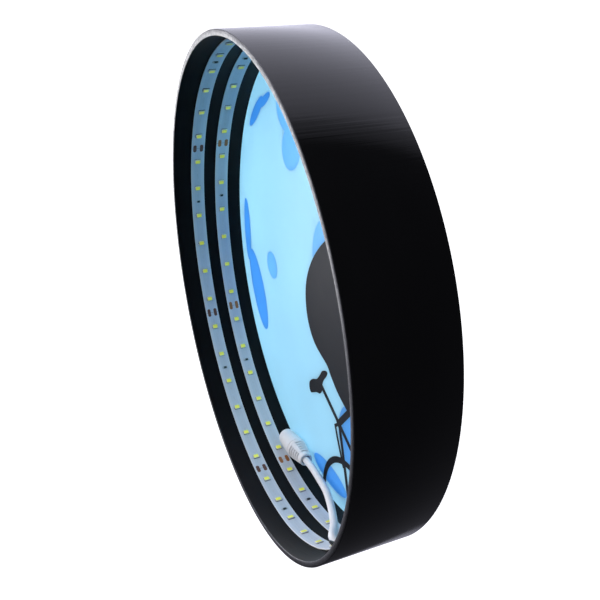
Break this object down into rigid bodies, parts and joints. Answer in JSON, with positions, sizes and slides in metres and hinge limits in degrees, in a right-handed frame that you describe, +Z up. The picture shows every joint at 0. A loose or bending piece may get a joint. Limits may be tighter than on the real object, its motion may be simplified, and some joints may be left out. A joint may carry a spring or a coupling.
{
  "type": "light-box sign",
  "caption": "Round open-backed light-box sign: black ring, blue moon-like face with a dark tree and bicycle picture, white LED strips inside the wall and a short lead with a supply jack.",
  "frame": {"origin": "the ring's centre, half-way along its depth", "axes": "+Z up as the picture stands, +Y along the ring's axis towards the open back, so the face looks along -Y, and +X to the right seen from the front"},
  "size_m": [0.25, 0.0434, 0.25],
  "materials": {
    "black_plastic": "black printed plastic, fine layer lines, semi-gloss",
    "face_blue": "translucent light-blue printed plastic, satin",
    "crater_deep": "translucent deep-blue printed plastic, satin",
    "crater_light": "translucent mid-blue printed plastic, satin",
    "picture_dark": "black printed plastic, thin, satin",
    "strip_white": "white solder mask on a flexible board, satin",
    "tape": "double-sided sticky foam tape, matt",
    "led": "white package with yellow-green phosphor gel, glossy",
    "resistor": "black chip resistor body with pale ends",
    "solder": "tin solder, bright",
    "wire_red": "red vinyl insulation, satin",
    "wire_black": "black plastic, satin",
    "white_vinyl": "white soft vinyl, satin",
    "contact": "nickel-plated spring brass, bright"
  },
  "bodies": {
    "sign": {"crater_frame": "crater_light", "crater_front_wheel": "crater_deep", "crater_left_limb": "crater_deep", "crater_left_round": "crater_light", "crater_left_small": "crater_light", "crater_lower_left": "crater_deep", "crater_rear_wheel": "crater_deep", "crater_right_limb": "crater_deep", "crater_small": "crater_light", "crater_top": "crater_deep", "crater_tree": "crater_light", "crater_upper": "crater_light", "face_panel": "face_blue", "housing_ring": "black_plastic", "jack_centre_pin": "contact", "jack_shell": "white_vinyl", "jack_socket": "wire_black", "jack_terminal": "contact", "jumper_negative": "wire_black", "jumper_positive": "wire_red", "lead_core_negative": "wire_black", "lead_core_positive": "wire_red", "lead_jacket": "white_vinyl", "led_segment_front_1": "led", "led_segment_front_2": "led", "led_segment_front_3": "led", "led_segment_front_4": "led", "led_segment_front_5": "led", "led_segment_front_6": "led", "led_segment_rear_1": "led", "led_segment_rear_2": "led", "led_segment_rear_3": "led", "led_segment_rear_4": "led", "led_segment_rear_5": "led", "led_segment_rear_6": "led", "resistor_front_1": "resistor", "resistor_front_2": "resistor", "resistor_front_3": "resistor", "resistor_front_4": "resistor", "resistor_front_5": "resistor", "resistor_front_6": "resistor", "resistor_rear_1": "resistor", "resistor_rear_2": "resistor", "resistor_rear_3": "resistor", "resistor_rear_4": "resistor", "resistor_rear_5": "resistor", "resistor_rear_6": "resistor", "solder_front_negative": "solder", "solder_front_positive": "solder", "solder_rear_negative": "solder", "solder_rear_positive": "solder", "strip_board_front": "strip_white", "strip_board_rear": "strip_white", "strip_tape_front": "tape", "strip_tape_rear": "tape", "tree_and_bicycle": "picture_dark"},
    "barrel_contact": {"jack_spring_contact": "contact"}
  },
  "joints": [
    {"name": "barrel_contact_spring", "type": "hinge", "parent": "sign", "child": "barrel_contact", "pos_m": [0.0899, -0.01413, -0.06377], "axis": [0.0026, -1, 0.0019], "range_deg": [0, 4], "stiffness_Nm_per_rad": 0.03}
  ]
}
